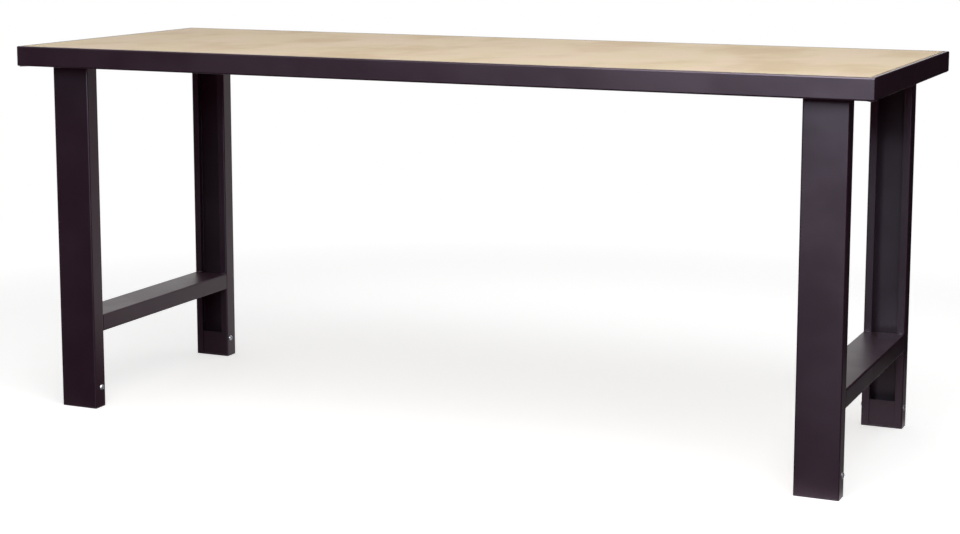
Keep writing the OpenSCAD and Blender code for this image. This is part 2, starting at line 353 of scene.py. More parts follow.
def softbox(name, place, target, size, radiance, tint=NEUTRAL, sheen_only=False):
    """A rectangular soft lamp at a place, turned to a target."""
    data = bpy.data.lights.new(name, "AREA")
    data.shape = "RECTANGLE"
    data.size, data.size_y = size
    data.energy = radiance * size[0] * size[1] * math.pi
    data.color = tint
    lamp = bpy.data.objects.new(name, data)
    lamp.location = place
    away = Vector(place) - Vector(target)
    lamp.rotation_euler = away.to_track_quat("Z", "Y").to_euler()
    lamp.visible_camera = False
    lamp.visible_diffuse = not sheen_only
    bpy.context.scene.collection.objects.link(lamp)
    return lamp


softbox("overhead_softbox", place=(0.9, -1.4, 2.9), target=(0.25, -0.2, 0.8),
        size=(3.0, 2.0), radiance=2.62)
softbox("front_softbox", place=(1.1, -4.6, 2.8), target=(1.1, 0.0, 2.8),
        size=(3.6, 2.4), radiance=28.0, tint=COOL, sheen_only=True)
softbox("fold_softbox", place=(0.9, -1.2, 3.2), target=(0.7, -0.3, 0.8),
        size=(2.4, 1.0), radiance=15.0, sheen_only=True)
print("lamps: one for the board and the floor, two for sheen")

# %% [markdown]
# Dark paint shows what stands around it. Behind the bench that is the white sweep, and the inner sides
# of the left legs and the tops of the rails are lifted by it, as they should be. In front and at the
# right end a photographer keeps it dark with black flags, or the paint would turn grey all over.
# The flags here are plain panels that only mirror rays can see: upright in front and at the right end,
# and lying on the floor where the lower parts of the legs would mirror it. Three are grey, not black,
# where the picture shows a little light on the steel.

# %% Flags
FLAG_Z = 2 * MM
FLAG_TOP = 2.2
FRONT_TOP = 9.0
FRONT_HALF = 14.0
FRONT_Y = -6.5
RIGHT_FRONT_Y = -0.45
NEAR_Y = -0.36
UNDER_REAR_Y = 0.28
GREY_TO_Y = 0.85
REAR_Y = 2.4
UNDER_LEFT_X = -1.6
INSIDE_LEG_X = 0.8
BESIDE_LEG_X = 0.95
RIGHT_X = 1.22
UNDER_GREY = 0.12
RIGHT_GREY = 0.24
FAINT_GREY = 0.012


def flag(name, low, high, brightness=0.0):
    """An upright or lying panel between two corners, seen only by mirror rays."""
    low = Vector(low)
    high = Vector(high)
    thin = min(range(3), key=lambda axis: high[axis] - low[axis])
    first, second = [axis for axis in range(3) if axis != thin]
    corners = [low.copy() for _ in range(4)]
    corners[1][first] = high[first]
    corners[2][first] = high[first]
    corners[2][second] = high[second]
    corners[3][second] = high[second]
    mesh = bpy.data.meshes.new(name)
    mesh.from_pydata(corners, [], [(0, 1, 2, 3)])
    material, tree, shader = new_material(name)
    plug(tree, shader, {
        "Base Color": BLACK,
        "Specular IOR Level": 0.0,
        "Emission Color": WHITE,
        "Emission Strength": brightness})
    material.cycles.emission_sampling = "NONE"
    mesh.materials.append(material)
    made = bpy.data.objects.new(name, mesh)
    made.visible_camera = False
    made.visible_diffuse = False
    made.visible_transmission = False
    made.visible_shadow = False
    bpy.context.scene.collection.objects.link(made)
    return made


flag("front_flag", (-FRONT_HALF, FRONT_Y, 0), (FRONT_HALF, FRONT_Y, FRONT_TOP))
flag("front_floor_flag", (-FRONT_HALF, FRONT_Y, FLAG_Z), (FRONT_HALF, NEAR_Y, FLAG_Z))
flag("under_flag", (UNDER_LEFT_X, NEAR_Y, FLAG_Z), (INSIDE_LEG_X, UNDER_REAR_Y, FLAG_Z), UNDER_GREY)
flag("right_flag", (RIGHT_X, RIGHT_FRONT_Y, 0), (RIGHT_X, REAR_Y, FLAG_TOP), FAINT_GREY)
flag("right_rear_flag", (INSIDE_LEG_X, REAR_Y, 0), (RIGHT_X, REAR_Y, FLAG_TOP))
flag("right_floor_flag", (BESIDE_LEG_X, GREY_TO_Y, FLAG_Z), (RIGHT_X, REAR_Y, FLAG_Z))
flag("right_grey_flag", (BESIDE_LEG_X, NEAR_Y, FLAG_Z), (RIGHT_X, GREY_TO_Y, FLAG_Z), RIGHT_GREY)
print("seven flags")

# %% [markdown]
# ## Effects that several finishes share
# Coated steel, lacquered wood and zinc all show a little rounding on their sharp edges, and steel
# and wood are lightened a little on what faces up: by dust on the wood, by dust and a painted sheen
# on the steel. Each effect is a small node group with named inputs and outputs, so that one
# description serves every finish that uses it with its own values.
# `soft_edges` rounds the shading at an edge with a Bevel node, and also gives a mask: where the
# rounded normal leaves the true one, there is an edge.

# %% Soft edges group
def make_soft_edges():
    """A rounded normal, and where the edges are."""
    tree, given, result = new_group("soft_edges", "ShaderNodeTree", [
        ("Edge Radius", "NodeSocketFloat", 0.5 * MM),
    ], [("Edge", "NodeSocketFloat"), ("Normal", "NodeSocketVector")])
    bevel = add(tree, "ShaderNodeBevel", {"Radius": given.outputs["Edge Radius"]}, samples=6)
    likeness = add(tree, "ShaderNodeVectorMath", {0: bevel.outputs[0], 1: true_normal(tree)},
                   operation="DOT_PRODUCT").outputs["Value"]
    plug(tree, result, {"Edge": remap(tree, likeness, 0.995, 0.90), "Normal": bevel.outputs[0]})
    return tree


soft_edges = make_soft_edges()
print("group:", soft_edges.name)

# %% [markdown]
# `dust_and_sheen_on_top` marks what faces up, broken into faint patches. On the wood it is dust; on
# the steel it is dust and a painted sheen on the faces that look up. The bench in the picture is new,
# so both finishes that use it take only a touch of it.

# %% Dust and sheen group
def make_dust_and_sheen_on_top():
    """A mask of the faces that look up, in faint patches: dust, and on the steel also a painted sheen.
    """
    tree, given, result = new_group("dust_and_sheen_on_top", "ShaderNodeTree", [
        ("Amount", "NodeSocketFloat", 0.1),
        ("Patch Size", "NodeSocketFloat", 40 * MM),
    ], [("Dust And Sheen", "NodeSocketFloat")])
    level = remap(tree, z_of(tree, true_normal(tree)), 0.6, 0.95)
    scale = math_node(tree, "DIVIDE", 1.0, given.outputs["Patch Size"])
    patches = remap(tree, noise(tree, object_place(tree), scale, 4.0, 0.6), 0.3, 0.75)
    lying = math_node(tree, "MULTIPLY", level, patches)
    plug(tree, result, {"Dust And Sheen": math_node(tree, "MULTIPLY", lying, given.outputs["Amount"])})
    return tree


dust_and_sheen_on_top = make_dust_and_sheen_on_top()
print("group:", dust_and_sheen_on_top.name)

# %% [markdown]
# `fine_texture` is the small relief of a sprayed or plated surface: powder coat flows out into an
# orange peel a millimetre or so wide, and zinc keeps a finer one. It gives a height for a Bump node
# and a slow variation for the roughness.

# %% Fine texture group
def make_fine_texture():
    """A fine height, and slow clouds."""
    tree, given, result = new_group("fine_texture", "ShaderNodeTree", [
        ("Grain Size", "NodeSocketFloat", 1.2 * MM),
        ("Cloud Size", "NodeSocketFloat", 120 * MM),
    ], [("Height", "NodeSocketFloat"), ("Cloud", "NodeSocketFloat")])
    place = object_place(tree)
    grain_scale = math_node(tree, "DIVIDE", 1.0, given.outputs["Grain Size"])
    cloud_scale = math_node(tree, "DIVIDE", 1.0, given.outputs["Cloud Size"])
    plug(tree, result, {
        "Height": noise(tree, place, grain_scale, 2.0, 0.45),
        "Cloud": remap(tree, noise(tree, place, cloud_scale, 3.0, 0.5), 0.3, 0.7)})
    return tree


fine_texture = make_fine_texture()
print("group:", fine_texture.name)

# %% [markdown]
# ## Finish: black powder coat
# The steel is sprayed with powder and baked. Up close the coat has an orange peel, and it thins at
# sharp edges, where it looks a little lighter; that paler edge colour is also a painted highlight.
# In the picture it is nearly black with a plum tint, and its reflections are faintly plum too. A
# single dark colour would look like a cut-out, so the colour drifts slightly, the edges are lighter
# (thin coat and a painted highlight), faces that look up are lighter (dust and a painted sheen), and
# the roughness varies with slow clouds.
# Folded sheet is never quite flat, so a very shallow wave bends the reflections, and the rim round
# the board is rubbed a little smoother than the rest.

# %% Black powder coat
COAT_DEEP = (0.0235, 0.0030, 0.0125, 1)
COAT_PALER = (0.0275, 0.0042, 0.0150, 1)
# Paler at the edges: thin coat, and also a painted highlight along them.
THIN_COAT_AND_HIGHLIGHT = (0.045, 0.036, 0.043, 1)
# Lighter on the faces that look up: dust, and also a painted sheen.
DUST_AND_SHEEN_ON_STEEL = (0.36, 0.32, 0.29, 1)
PLUM_SHEEN = (1.0, 0.90, 0.97, 1.0)
SHEET_WAVE = 90 * MM
SHEET_WAVE_HEIGHT = 0.6 * MM
PEEL_SIZE = 1.3 * MM
PEEL_HEIGHT = 0.06 * MM
RUBBED_FROM = top_z - 2.5 * MM
RUBBED_TO = top_z - 0.5 * MM


def make_powder_coat():
    """Nearly black powder coat, for all the painted steel."""
    material, tree, shader = new_material("black_powder_coat")
    texture = use_group(tree, fine_texture, {"Grain Size": PEEL_SIZE, "Cloud Size": 150 * MM})
    edges = use_group(tree, soft_edges, {"Edge Radius": 0.6 * MM})
    on_top = use_group(tree, dust_and_sheen_on_top, {"Amount": 0.05, "Patch Size": 60 * MM})
    waves = use_group(tree, fine_texture, {"Grain Size": SHEET_WAVE})
    cloud = texture.outputs["Cloud"]
    at_edge = math_node(tree, "MULTIPLY", edges.outputs["Edge"], 0.5)
    colour = mix_colour(tree, cloud, COAT_DEEP, COAT_PALER)
    # The edges are lighter: thin coat, and a painted highlight.
    colour = mix_colour(tree, at_edge, colour, THIN_COAT_AND_HIGHLIGHT)
    # Faces that look up are lighter: dust, and a painted sheen.
    colour = mix_colour(tree, on_top.outputs["Dust And Sheen"], colour, DUST_AND_SHEEN_ON_STEEL)
    at_rim = remap(tree, z_of(tree, object_place(tree)), RUBBED_FROM, RUBBED_TO)
    sprayed = remap(tree, cloud, 0, 1, 0.38, 0.42)
    rubbed = math_node(tree, "MULTIPLY", at_rim, 0.17)
    sheet = bump(tree, waves.outputs["Height"], SHEET_WAVE_HEIGHT, 1.0, edges.outputs["Normal"])
    plug(tree, shader, {
        "Base Color": colour,
        "Roughness": math_node(tree, "SUBTRACT", sprayed, rubbed),
        "Normal": bump(tree, texture.outputs["Height"], PEEL_HEIGHT, 0.4, sheet),
        "Specular IOR Level": 0.4,
        "Specular Tint": PLUM_SHEEN})
    return material


powder_coat = make_powder_coat()
print("finish:", powder_coat.name)

# %% [markdown]
# ## Finish: lacquered beech
# The board is glued up from thin rotary-cut beech veneers. Its face is pale and quiet: slow drifts
# between a pinkish and a yellowish tone, soft clouds, pale lines of figure, fine streaks along the
# board with darker pores between them, and the short dark flecks that tell beech from other woods.
# Each is one noise, stretched along X or across it by a Mapping node. They are laid one over the other,
# the wide ones first, and a list holds them in that order: how long and how wide a feature is, which
# part of the noise counts, how strongly it shows and in what colour.

# %% Beech face
BEECH_PINK = (0.820, 0.655, 0.495, 1)
BEECH_YELLOW = (0.785, 0.650, 0.440, 1)
BEECH_LAYERS = [
    {"name": "clouds", "length": 140 * MM, "width": 260 * MM, "detail": 2.5, "roughness": 0.55,
     "offset": 3.0, "from": 0.42, "to": 0.72, "strength": 1.0, "colour": (0.700, 0.540, 0.355, 1)},
    {"name": "figure", "length": 150 * MM, "width": 18 * MM, "detail": 3.0, "roughness": 0.6,
     "offset": 5.0, "from": 0.52, "to": 0.74, "strength": 0.45, "colour": (0.850, 0.725, 0.560, 1)},
    {"name": "streaks", "length": 150 * MM, "width": 2.5 * MM, "detail": 3.0, "roughness": 0.6,
     "offset": 7.0, "from": 0.35, "to": 0.75, "strength": 0.14, "colour": (0.62, 0.47, 0.32, 1)},
    {"name": "pores", "length": 22 * MM, "width": 0.6 * MM, "detail": 2.0, "roughness": 0.6,
     "offset": 13.0, "from": 0.50, "to": 0.75, "strength": 0.16, "colour": (0.58, 0.43, 0.29, 1)},
    {"name": "flecks", "length": 3.0 * MM, "width": 0.7 * MM, "detail": 1.0, "roughness": 0.55,
     "offset": 11.0, "from": 0.62, "to": 0.75, "strength": 0.35, "colour": (0.50, 0.35, 0.22, 1)},
]


def stretched_noise(tree, length, width, detail, roughness, offset):
    """Noise with features of a given length along X and width along Y, in metres."""
    mapped = add(tree, "ShaderNodeMapping", {
        "Vector": object_place(tree),
        "Location": (offset, offset, offset),
        "Scale": (1 / length, 1 / width, 1 / width)})
    return noise(tree, mapped.outputs[0], 1.0, detail, roughness)


def beech_face(tree):
    """The colour of the board's face, and each layer's mask by its name."""
    drift = remap(tree, stretched_noise(tree, 150 * MM, 280 * MM, 2.0, 0.55, 0.0), 0.36, 0.64)
    colour = mix_colour(tree, drift, BEECH_PINK, BEECH_YELLOW)
    masks = {}
    for layer in BEECH_LAYERS:
        grain = stretched_noise(tree, layer["length"], layer["width"], layer["detail"],
                                layer["roughness"], layer["offset"])
        mask = remap(tree, grain, layer["from"], layer["to"])
        share = math_node(tree, "MULTIPLY", mask, layer["strength"])
        colour = mix_colour(tree, share, colour, layer["colour"])
        masks[layer["name"]] = mask
    return colour, masks


print("layers of the beech face:", [layer["name"] for layer in BEECH_LAYERS])

# %% [markdown]
# On the board's sides the veneers show as lines, every other one dark with end grain, so there the
# height in the board picks the colour instead. The arrises are drawn darker.

# %% Lacquered beech
PLY = 1.5 * MM
PLY_PALE = (0.62, 0.47, 0.32, 1)
PLY_END_GRAIN = (0.36, 0.24, 0.15, 1)
DARKER_ARRIS = (0.26, 0.19, 0.13, 1)
DUST_ON_WOOD = (0.80, 0.77, 0.72, 1)


def make_beech():
    """Lacquered beech, quiet on its face and layered on its sides."""
    material, tree, shader = new_material("lacquered_beech")
    face, masks = beech_face(tree)
    edges = use_group(tree, soft_edges, {"Edge Radius": 2.0 * MM})
    on_top = use_group(tree, dust_and_sheen_on_top, {"Amount": 0.03, "Patch Size": 80 * MM})
    height = math_node(tree, "DIVIDE", z_of(tree, object_place(tree)), PLY)
    ply = remap(tree, math_node(tree, "PINGPONG", height, 1.0), 0.35, 0.65)
    side = mix_colour(tree, ply, PLY_PALE, PLY_END_GRAIN)
    on_side = remap(tree, math_node(tree, "ABSOLUTE", z_of(tree, true_normal(tree))), 0.6, 0.3)
    at_edge = math_node(tree, "MULTIPLY", edges.outputs["Edge"], 0.7)
    colour = mix_colour(tree, on_side, face, side)
    colour = mix_colour(tree, at_edge, colour, DARKER_ARRIS)
    colour = mix_colour(tree, on_top.outputs["Dust And Sheen"], colour, DUST_ON_WOOD)
    plug(tree, shader, {
        "Base Color": colour,
        "Roughness": remap(tree, masks["clouds"], 0, 1, 0.62, 0.70),
        "Normal": bump(tree, masks["streaks"], 0.04 * MM, 0.2, edges.outputs["Normal"]),
        "Specular IOR Level": 0.08})
    return material


beech = make_beech()
print("finish:", beech.name)

# %% [markdown]
# ## Finish: zinc plate
# Screws, nuts and washers are steel with a thin zinc plate: a plain metal grey, a little bluish in
# places, and dulled by handling, so that the screws show as small soft lights and not as mirrors.

# %% Zinc plate
ZINC_BLUISH = (0.38, 0.39, 0.42, 1)
ZINC_PLAIN = (0.46, 0.45, 0.43, 1)


def make_zinc():
    """Dull zinc plate, for all the fasteners."""
    material, tree, shader = new_material("zinc_plate")
    texture = use_group(tree, fine_texture, {"Grain Size": 0.5 * MM, "Cloud Size": 6 * MM})
    edges = use_group(tree, soft_edges, {"Edge Radius": 0.25 * MM})
    cloud = texture.outputs["Cloud"]
    plug(tree, shader, {
        "Base Color": mix_colour(tree, cloud, ZINC_BLUISH, ZINC_PLAIN),
        "Roughness": remap(tree, cloud, 0, 1, 0.36, 0.50),
        "Normal": bump(tree, texture.outputs["Height"], 0.02 * MM, 0.3, edges.outputs["Normal"]),
        "Metallic": 1.0})
    return material


zinc = make_zinc()
print("finish:", zinc.name)

# %% [markdown]
# ## Dress the construction
# The record says which finish each piece takes, so the pieces are dressed by their slot, not by a
# list of names. The pieces themselves aren't touched: only their material slot is filled.

# %% Dress the construction
FINISHES = {"worktop_wood": beech, "frame_paint": powder_coat, "zinc": zinc}
for part in frame["record"]["subparts"]:
    piece = nodes[part["node"]]
    piece.data.materials.clear()
    piece.data.materials.append(FINISHES[part["material_slot"]])

# %% [markdown]
# ## Geometry Nodes into plain meshes
# What repeats is made by a Geometry Nodes tree: the object holds only the places or lines, and the
# tree does the rest from named sizes. The export knows nothing of modifiers and instances, so the
# finished result is turned into a plain mesh and the modifier is taken off again. Inside a tree,
# `store` writes a value down on every point and `stored` reads it back after the shape has changed.

# %% Helpers for geometry trees
def store(tree, geometry, name, value):
    """The geometry with a named value on each point."""
    made = add(tree, "GeometryNodeStoreNamedAttribute", {
        "Geometry": geometry, "Name": name, "Value": value}, data_type="FLOAT", domain="POINT")
    return made.outputs[0]


def stored(tree, name, kind="FLOAT"):
    """A named value, read back."""
    made = add(tree, "GeometryNodeInputNamedAttribute", {"Name": name}, data_type=kind)
    return made.outputs["Attribute"]


def run_tree(name, points, edges, tree, values, vectors=None):
    """A plain mesh object: the tree's result on these points and edges, with its named values."""
    mesh = bpy.data.meshes.new(name)
    mesh.from_pydata(points, edges, [])
    for label, directions in (vectors or {}).items():
        attribute = mesh.attributes.new(label, "FLOAT_VECTOR", "POINT")
        flat = [part for direction in directions for part in direction]
        attribute.data.foreach_set("vector", flat)
    piece = bpy.data.objects.new(name, mesh)
    bpy.context.scene.collection.objects.link(piece)
    modifier = piece.modifiers.new("tree", "NODES")
    modifier.node_group = tree
    sockets = {
        item.name: item.identifier
        for item in tree.interface.items_tree if item.in_out == "INPUT"}
    for label, value in values.items():
        modifier[sockets[label]] = value
    evaluated = piece.evaluated_get(bpy.context.evaluated_depsgraph_get())
    made = bpy.data.meshes.new_from_object(evaluated)
    piece.modifiers.remove(modifier)
    piece.data = made
    made.name = name
    print(name, "has", len(made.polygons), "faces")
    return piece


print("helpers for geometry trees ready")

# %% [markdown]
# ## Screws and bolts
# The clamping screws of the feet have low button heads with a hexagon socket; the bolts in the heads
# of the legs have hexagon heads; the board is held by pan-head wood screws. All three are the same
# idea with other sizes: a prism or a disc, cut by a sphere to give the crown, a socket cut from it,
# a core and a thread that winds round it. So one tree makes them all.
# First the head. The ball touches the middle of its top, and meets its side one crown height below
# that. The cuts leave points a hair apart, which are merged, so that the mesh stays clean.

# %% Screw head
ROUND_SIDES = 40
BALL_RINGS = 48
HEXAGON = 6
MERGE_WITHIN = 0.05 * MM


def raised(tree, geometry, height):
    """Geometry lifted along Z."""
    lift = add(tree, "ShaderNodeCombineXYZ", {"Z": height}).outputs[0]
    made = add(tree, "GeometryNodeTransform", {"Geometry": geometry, "Translation": lift})
    return made.outputs[0]


def prism(tree, sides, radius, depth, height):
    """A prism or a disc with its middle at a height."""
    made = add(tree, "GeometryNodeMeshCylinder", {
        "Vertices": sides, "Radius": radius, "Depth": depth})
    return raised(tree, made.outputs["Mesh"], height)


def common(tree, first, second):
    """What two solids have in common."""
    made = add(tree, "GeometryNodeMeshBoolean", operation="INTERSECT", solver="EXACT")
    tree.links.new(first, made.inputs["Mesh 2"])
    tree.links.new(second, made.inputs["Mesh 2"])
    return made.outputs["Mesh"]


def cut(tree, solid, tool):
    """A solid without what the tool takes away."""
    made = add(tree, "GeometryNodeMeshBoolean", operation="DIFFERENCE", solver="EXACT")
    tree.links.new(solid, made.inputs["Mesh 1"])
    tree.links.new(tool, made.inputs["Mesh 2"])
    return made.outputs["Mesh"]


def screw_head(tree, size):
    """A crowned head with its socket."""
    head_r = math_node(tree, "DIVIDE", size["Head Width"], 2.0)
    half_head = math_node(tree, "DIVIDE", size["Head Height"], 2.0)
    blank = prism(tree, size["Head Sides"], head_r, size["Head Height"], half_head)
    squares = math_node(tree, "ADD", math_node(tree, "POWER", head_r, 2.0),
                        math_node(tree, "POWER", size["Crown"], 2.0))
    ball_r = math_node(tree, "DIVIDE", squares, math_node(tree, "MULTIPLY", size["Crown"], 2.0))
    ball = add(tree, "GeometryNodeMeshUVSphere", {
        "Segments": ROUND_SIDES, "Rings": BALL_RINGS, "Radius": ball_r}).outputs["Mesh"]
    ball = raised(tree, ball, math_node(tree, "SUBTRACT", size["Head Height"], ball_r))
    socket_r = math_node(tree, "DIVIDE", size["Socket Width"], 2 * math.cos(math.pi / HEXAGON))
    socket_z = math_node(tree, "SUBTRACT", math_node(tree, "MULTIPLY", size["Head Height"], 1.5),
                         size["Socket Depth"])
    socket = prism(tree, HEXAGON, socket_r, size["Head Height"], socket_z)
    head = cut(tree, common(tree, blank, ball), socket)
    made = add(tree, "GeometryNodeMergeByDistance", {"Geometry": head, "Distance": MERGE_WITHIN})
    return made.outputs[0]


print("a round head has", ROUND_SIDES, "sides")

# %% [markdown]
# The core is a plain rod, thinner than the thread by half a pitch on each side. The thread is a small
# square ridge, swept along a helix that winds round the core and stops half a pitch short of both
# ends.

# %% Screw core and thread
CORE_SIDES = 24
STEPS_A_TURN = 16
RIDGE_SHARE = 0.48


def screw_core(tree, size, core_r):
    """The rod below the head."""
    middle = math_node(tree, "MULTIPLY", size["Length"], -0.5)
    return prism(tree, CORE_SIDES, core_r, size["Length"], middle)


def screw_thread(tree, size, core_r):
    """The ridge that winds round the rod."""
    turns = math_node(tree, "DIVIDE", size["Length"], size["Pitch"])
    helix = add(tree, "GeometryNodeCurveSpiral", {
        "Resolution": STEPS_A_TURN,
        "Rotations": math_node(tree, "SUBTRACT", turns, 1.0),
        "Start Radius": core_r,
        "End Radius": core_r,
        "Height": math_node(tree, "SUBTRACT", size["Length"], size["Pitch"])}).outputs[0]
    ridge = add(tree, "GeometryNodeCurvePrimitiveCircle", {
        "Resolution": 4,
        "Radius": math_node(tree, "MULTIPLY", size["Pitch"], RIDGE_SHARE)}).outputs[0]
    thread = add(tree, "GeometryNodeCurveToMesh", {
        "Curve": helix, "Profile Curve": ridge, "Fill Caps": True}).outputs[0]
    half_pitch = math_node(tree, "MULTIPLY", size["Pitch"], 0.5)
    return raised(tree, thread, math_node(tree, "SUBTRACT", half_pitch, size["Length"]))


print("thread:", STEPS_A_TURN, "steps a turn")

# %% [markdown]
# The tree stands a screw on each point, turns it along the `outward` direction stored there, and
# spins it by a random angle, because no two screws stop at the same turn. Faces that meet at more
# than 25 degrees keep a crisp edge between them.

# %% Screw tree
SCREW_SIZES = ["Head Width", "Head Height", "Crown", "Socket Width", "Socket Depth",
               "Thread Diameter", "Pitch", "Length"]
CRISP_OVER = math.radians(25)


def stand_on_points(tree, size, screw):
    """A screw on each point, aimed outwards and spun at random."""
    aimed = add(tree, "FunctionNodeAlignRotationToVector", {
        "Vector": stored(tree, "outward", "FLOAT_VECTOR")}, axis="Z").outputs[0]
    spin = add(tree, "FunctionNodeRandomValue", {"Seed": size["Seed"], 3: 2 * math.pi},
               data_type="FLOAT")
    angle = add(tree, "FunctionNodeAxisAngleToRotation", {
        "Axis": (0, 0, 1), "Angle": spin.outputs[1]}).outputs[0]
    turned = add(tree, "FunctionNodeRotateRotation", {
        "Rotation": aimed, "Rotate By": angle}, rotation_space="LOCAL").outputs[0]
    placed = add(tree, "GeometryNodeInstanceOnPoints", {
        "Points": size["Geometry"], "Instance": screw, "Rotation": turned}).outputs[0]
    return add(tree, "GeometryNodeRealizeInstances", {"Geometry": placed}).outputs[0]


def creased(tree, geometry):
    """Smooth shading, with crisp edges kept."""
    smooth = add(tree, "GeometryNodeSetShadeSmooth", {"Geometry": geometry}).outputs[0]
    bend = tree.nodes.new("GeometryNodeInputMeshEdgeAngle").outputs["Unsigned Angle"]
    sharp = add(tree, "FunctionNodeCompare", {0: bend, 1: CRISP_OVER}, operation="GREATER_THAN")
    made = add(tree, "GeometryNodeSetShadeSmooth", {
        "Geometry": smooth, "Selection": sharp.outputs[0], "Shade Smooth": False}, domain="EDGE")
    return made.outputs[0]


def make_screw_tree():
    """The tree that makes every screw and bolt of the bench."""
    tree, given, result = new_group("screws_on_points", "GeometryNodeTree", [
        ("Geometry", "NodeSocketGeometry", None),
        *[(label, "NodeSocketFloat", 5 * MM) for label in SCREW_SIZES],
        ("Head Sides", "NodeSocketInt", 6),
        ("Seed", "NodeSocketInt", 1),
        ("Finish", "NodeSocketMaterial", None),
    ], [("Geometry", "NodeSocketGeometry")])
    size = given.outputs
    core_r = math_node(tree, "SUBTRACT", math_node(tree, "DIVIDE", size["Thread Diameter"], 2.0),
                       math_node(tree, "MULTIPLY", size["Pitch"], 0.5))
    screw = add(tree, "GeometryNodeJoinGeometry")
    for part in (screw_head(tree, size), screw_core(tree, size, core_r),
                 screw_thread(tree, size, core_r)):
        tree.links.new(part, screw.inputs[0])
    screws = creased(tree, stand_on_points(tree, size, screw.outputs[0]))
    finished = add(tree, "GeometryNodeSetMaterial", {"Geometry": screws, "Material": size["Finish"]})
    plug(tree, result, {0: finished.outputs[0]})
    return tree


screw_tree = make_screw_tree()
print("tree:", screw_tree.name, "with", len(screw_tree.nodes), "nodes")

# %% [markdown]
# The places are worked out from the bench: the clamping screws stand on the side walls of the legs,
# the head bolts hang under the washers below the head plates, and the wood screws stand in a row
# along each bearer. Each place is a point and the direction in which the screw's head looks.

# %% Screw places
SCREW_Z = 47 * MM
SCREW_FROM_MOUTH = 15 * MM
HEAD_BOLT_X = 33.5 * MM
WASHER_T = 1.6 * MM
BOARD_SCREW_END = 30 * MM
BOARD_SCREW_COUNT = 4
DOWN = (0, 0, -1)


def foot_screw_places():
    """Both clamping screws of each leg: on its side walls, pointing outwards."""
    places = []
    for side, depth in LEGS.values():
        for out in (-1, 1):
            y = depth * (leg_mouth_y + SCREW_FROM_MOUTH)
            places.append(((side * leg_x + out * leg_half_w, y, SCREW_Z), (out, 0, 0)))
    return places


def head_bolt_places():
    """Both bolts in the head of each leg: under the head plate's washers, pointing down."""
    places = []
    for side, depth in LEGS.values():
        for out in (-1, 1):
            y = depth * (leg_web_y + leg_mouth_y) / 2
            z = leg_high.z - HEAD_PLATE_T - WASHER_T
            places.append(((side * leg_x + out * HEAD_BOLT_X, y, z), DOWN))
    return places


def board_screw_places():
    """A row of wood screws along each bearer, pointing down."""
    span = rail_high.y - rail_low.y - 2 * BOARD_SCREW_END
    places = []
    for x in bearer_middles:
        for index in range(BOARD_SCREW_COUNT):
            y = span * (index / (BOARD_SCREW_COUNT - 1) - 0.5)
            places.append(((x, y, board_low.z - SHEET_T), DOWN))
    return places


print("screws along a bearer:", BOARD_SCREW_COUNT)

# %% Screws on the bench
def make_screws(name, places, values, node):
    """Screws at these places, standing for a node of the construction."""
    points = [point for point, _ in places]
    outward = [direction for _, direction in places]
    screws = run_tree(name, points, [], screw_tree, {**values, "Finish": zinc}, {"outward": outward})
    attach(screws, "bench")
    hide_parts(node)
    return screws


make_screws("foot_clamp_screws", foot_screw_places(), {
    "Head Width": 14 * MM, "Head Height": 4.4 * MM, "Crown": 3.9 * MM, "Head Sides": ROUND_SIDES,
    "Socket Width": 5 * MM, "Socket Depth": 2.6 * MM, "Thread Diameter": 8 * MM,
    "Pitch": 1.25 * MM, "Length": 12.5 * MM, "Seed": 3}, "foot_screws")
make_screws("leg_head_bolts", head_bolt_places(), {
    "Head Width": 15 * MM, "Head Height": 5.3 * MM, "Crown": 0.8 * MM, "Head Sides": HEXAGON,
    "Socket Width": 3 * MM, "Socket Depth": -1 * MM, "Thread Diameter": 8 * MM,
    "Pitch": 1.25 * MM, "Length": 15.5 * MM, "Seed": 5}, "head_bolts")
make_screws("board_wood_screws", board_screw_places(), {
    "Head Width": 9.5 * MM, "Head Height": 3 * MM, "Crown": 2.2 * MM, "Head Sides": ROUND_SIDES,
    "Socket Width": 3.4 * MM, "Socket Depth": 1.6 * MM, "Thread Diameter": 5 * MM,
    "Pitch": 1.8 * MM, "Length": 19.5 * MM, "Seed": 7}, "board_screws")

# %% [markdown]
# ## Weld beads
# The frames are welded by hand, and the beads stay visible in the inner corners under the paint:
# small scales, one over the other. A bead could be modelled scale by scale, but a tube along the
# corner with a ripple in its radius shows the same from any distance at which a bench is looked at.
# The tree takes lines, lays a tube along each, and lets it swell with a wave and a little noise.
# Towards both ends the tube is drawn in, as a bead is where the welder starts and stops.

# %% Weld tree
RING_SIDES = 12
STEPS_A_RIPPLE = 4.0
BEAD_NOISE_SCALE = 400.0
END_RUN = 1.2
END_DRAW = 0.7


def bead_tube(tree, size):
    """A tube along each line, with its length so far and the way to its nearer end stored."""
    lines = add(tree, "GeometryNodeMeshToCurve", {"Mesh": size["Geometry"]}).outputs[0]
    step = math_node(tree, "DIVIDE", size["Ripple Length"], STEPS_A_RIPPLE)
    stepped = add(tree, "GeometryNodeResampleCurve", {
        "Curve": lines, "Length": step}, mode="LENGTH").outputs[0]
    along = tree.nodes.new("GeometryNodeSplineParameter").outputs["Length"]
    total = tree.nodes.new("GeometryNodeSplineLength").outputs["Length"]
    from_end = math_node(tree, "MINIMUM", along, math_node(tree, "SUBTRACT", total, along))
    marked = store(tree, stepped, "along", along)
    marked = store(tree, marked, "from_end", from_end)
    ring = add(tree, "GeometryNodeCurvePrimitiveCircle", {
        "Resolution": RING_SIDES, "Radius": size["Bead Radius"]}).outputs[0]
    made = add(tree, "GeometryNodeCurveToMesh", {
        "Curve": marked, "Profile Curve": ring, "Fill Caps": True})
    return made.outputs[0]


